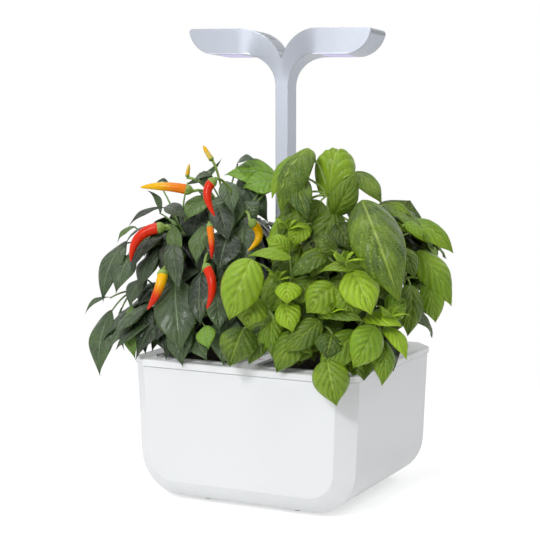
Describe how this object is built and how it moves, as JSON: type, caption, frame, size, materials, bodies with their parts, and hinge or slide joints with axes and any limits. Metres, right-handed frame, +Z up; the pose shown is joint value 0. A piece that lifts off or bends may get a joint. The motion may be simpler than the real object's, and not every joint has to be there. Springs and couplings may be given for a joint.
{
  "type": "countertop hydroponic garden",
  "caption": "White water tank with a lift-off lid, two lift-out growing cartridges holding a chilli and a basil plant, and a height-adjustable two-winged grow lamp.",
  "frame": {"origin": "centre of the footprint on the plane the feet stand on", "axes": "+Z up, -Y is the front face, +X to the right seen from the front"},
  "size_m": [0.2965, 0.242, 0.382],
  "materials": {
    "white_plastic": "white, satin gloss",
    "tray_plastic": "off-white, matte",
    "silver": "fine satin silver",
    "silver_plastic": "silver, satin",
    "grey_cover": "warm grey, matte",
    "diffuser": "milky, faint lavender glow",
    "board_white": "white solder mask",
    "led": "clear domes",
    "bare_aluminium": "plain",
    "board_green": "green solder mask",
    "black_plastic": "black",
    "red_wire": "red insulation",
    "steel": "plain",
    "rubber_foot": "dark grey",
    "pale_rubber": "pale silicone",
    "float_foam": "white foam",
    "red_plastic": "red",
    "growing_block": "dark fibrous peat",
    "wick_felt": "white felt",
    "chili_leaf": "dark green leaf, soft sheen",
    "chili_fruit": "glossy red to yellow",
    "basil_leaf": "bright green leaf, soft sheen"
  },
  "bodies": {
    "base": {"tank_shell": "white_plastic", "feet": "rubber_foot", "gauge_guide": "white_plastic", "mast_grip_pads": "rubber_foot"},
    "lid": {"lid": "white_plastic", "lid_seal": "pale_rubber"},
    "filler": {"filler_plug": "white_plastic"},
    "float": {"water_float": "float_foam", "gauge_stem": "red_plastic"},
    "cartridge_left": {"cartridge_left_tray": "tray_plastic", "cartridge_left_block": "growing_block", "cartridge_left_wick": "wick_felt", "cartridge_left_rim": "white_plastic", "chili_plant": "chili_leaf", "chili_fruits": "chili_fruit"},
    "cartridge_right": {"cartridge_right_tray": "tray_plastic", "cartridge_right_block": "growing_block", "cartridge_right_wick": "wick_felt", "cartridge_right_rim": "white_plastic", "basil_plant": "basil_leaf"},
    "lamp": {"lamp_housing": "silver", "mast_back_cover": "silver", "lamp_top_left": "grey_cover", "lamp_top_right": "grey_cover", "light_window_left": "diffuser", "light_window_right": "diffuser", "led_board_left": "board_white", "led_board_right": "board_white", "led_lenses": "led", "heat_spreader_left": "bare_aluminium", "heat_spreader_right": "bare_aluminium", "driver_board": "board_green", "power_inlet": "black_plastic", "lamp_wires": "red_wire", "lamp_screws": "steel"},
    "button": {"power_button": "silver_plastic"}
  },
  "joints": [
    {"name": "lid_lift", "type": "slide", "parent": "base", "child": "lid", "axis": [0, 0, 1], "range_m": [0, 0.055]},
    {"name": "cartridge_left_lift", "type": "slide", "parent": "lid", "child": "cartridge_left", "axis": [0, 0, 1], "range_m": [0, 0.055]},
    {"name": "cartridge_right_lift", "type": "slide", "parent": "lid", "child": "cartridge_right", "axis": [0, 0, 1], "range_m": [0, 0.055]},
    {"name": "filler_lift", "type": "slide", "parent": "lid", "child": "filler", "axis": [0, 0, 1], "range_m": [0, 0.03]},
    {"name": "float_rise", "type": "slide", "parent": "base", "child": "float", "axis": [0, 0, 1], "range_m": [0, 0.008]},
    {"name": "lamp_height", "type": "slide", "parent": "base", "child": "lamp", "axis": [0, 0, 1], "range_m": [-0.03, 0.045]},
    {"name": "power_press", "type": "slide", "parent": "lamp", "child": "button", "axis": [0, -1, 0], "range_m": [0, 0.0008], "stiffness_N_per_m": 300, "springref_m": -0.002}
  ]
}
